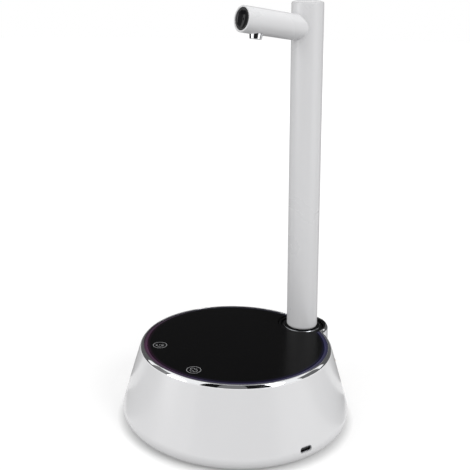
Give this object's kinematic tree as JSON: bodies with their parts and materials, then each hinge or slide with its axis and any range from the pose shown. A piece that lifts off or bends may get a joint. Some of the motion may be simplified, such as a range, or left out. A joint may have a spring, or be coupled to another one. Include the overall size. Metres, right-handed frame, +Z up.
{
  "type": "electric water jug pump",
  "caption": "Desktop electric water pump: conical base with a black touch panel and light ring, a swivelling plug-in column at its back edge and a short raised spout with a chrome nozzle.",
  "frame": {"origin": "centre of the round base, on the surface that it stands on", "axes": "+Z up; -Y towards the user, along the spout; +Y towards the column and the hose inlet; +X towards the charging socket"},
  "size_m": [0.1634, 0.1777, 0.3029],
  "materials": {
    "white_gloss": "satin gloss white moulded plastic",
    "white_inner": "unpainted white moulded plastic",
    "black_gloss": "polished black plastic",
    "black_matte": "fine-textured black plastic",
    "chrome": "bright plating",
    "diffuser": "milky light guide lit violet",
    "rubber": "matt black rubber",
    "silicone": "translucent white silicone",
    "steel": "zinc-plated or drawn steel",
    "brass": "turned brass",
    "board": "green circuit board with solder mask",
    "cell_wrap": "shrink-wrapped cell"
  },
  "bodies": {
    "base": {"base_housing": "white_gloss", "chrome_rim": "chrome", "light_ring": "diffuser", "led_board": "board", "top_panel": "black_gloss", "panel_carrier": "black_matte", "touch_spring_left": "steel", "touch_spring_right": "steel", "control_board": "board", "bottom_cover": "white_inner", "anti_slip_pad": "rubber", "cover_screw_1": "steel", "cover_screw_2": "steel", "cover_screw_3": "steel", "cover_screw_4": "steel", "column_seat": "black_matte", "seat_cap": "white_inner", "nipple_o_ring": "rubber", "socket_case": "steel", "socket_tongue": "black_matte", "charge_board": "board", "battery_tray": "black_matte", "battery_cell_1": "cell_wrap", "battery_cell_2": "cell_wrap", "battery_bar": "steel", "pump_motor": "steel", "motor_end_cap": "black_matte", "pump_chamber": "black_matte", "wobble_plate": "white_inner", "diaphragm": "rubber", "valve_plate": "white_inner", "head_cover": "black_matte", "head_screw_1": "steel", "head_screw_2": "steel", "head_screw_3": "steel", "head_screw_4": "steel", "motor_sleeve": "rubber", "motor_clamp": "steel", "inlet_fitting": "brass", "inlet_nut": "brass", "inlet_tube": "silicone", "outlet_tube": "silicone"},
    "column_swivel": {"swivel_collar": "black_matte", "retaining_clip": "steel"},
    "column": {"column_spigot": "white_inner", "spigot_o_ring": "rubber", "column_tube": "white_gloss", "column_cap": "white_gloss", "riser_tube": "silicone", "head_elbow": "white_inner", "spout_tube": "white_gloss", "spout_end_disc": "black_gloss", "spout_inner_tube": "silicone", "nozzle_holder": "white_inner", "nozzle": "chrome", "aerator": "black_matte"},
    "pump_rotor": {"motor_shaft": "steel", "eccentric": "white_inner"}
  },
  "joints": [
    {"name": "column_turn", "type": "hinge", "parent": "base", "child": "column_swivel", "pos_m": [0, 0.0624, 0.05], "axis": [0, 0, 1], "range_deg": [-90, 90]},
    {"name": "column_lift", "type": "slide", "parent": "column_swivel", "child": "column", "axis": [0, 0, 1], "range_m": [0, 0.04]},
    {"name": "rotor_spin", "type": "hinge", "parent": "base", "child": "pump_rotor", "pos_m": [-0.038, -0.01, 0.021], "axis": [0, 1, 0], "continuous": true}
  ]
}
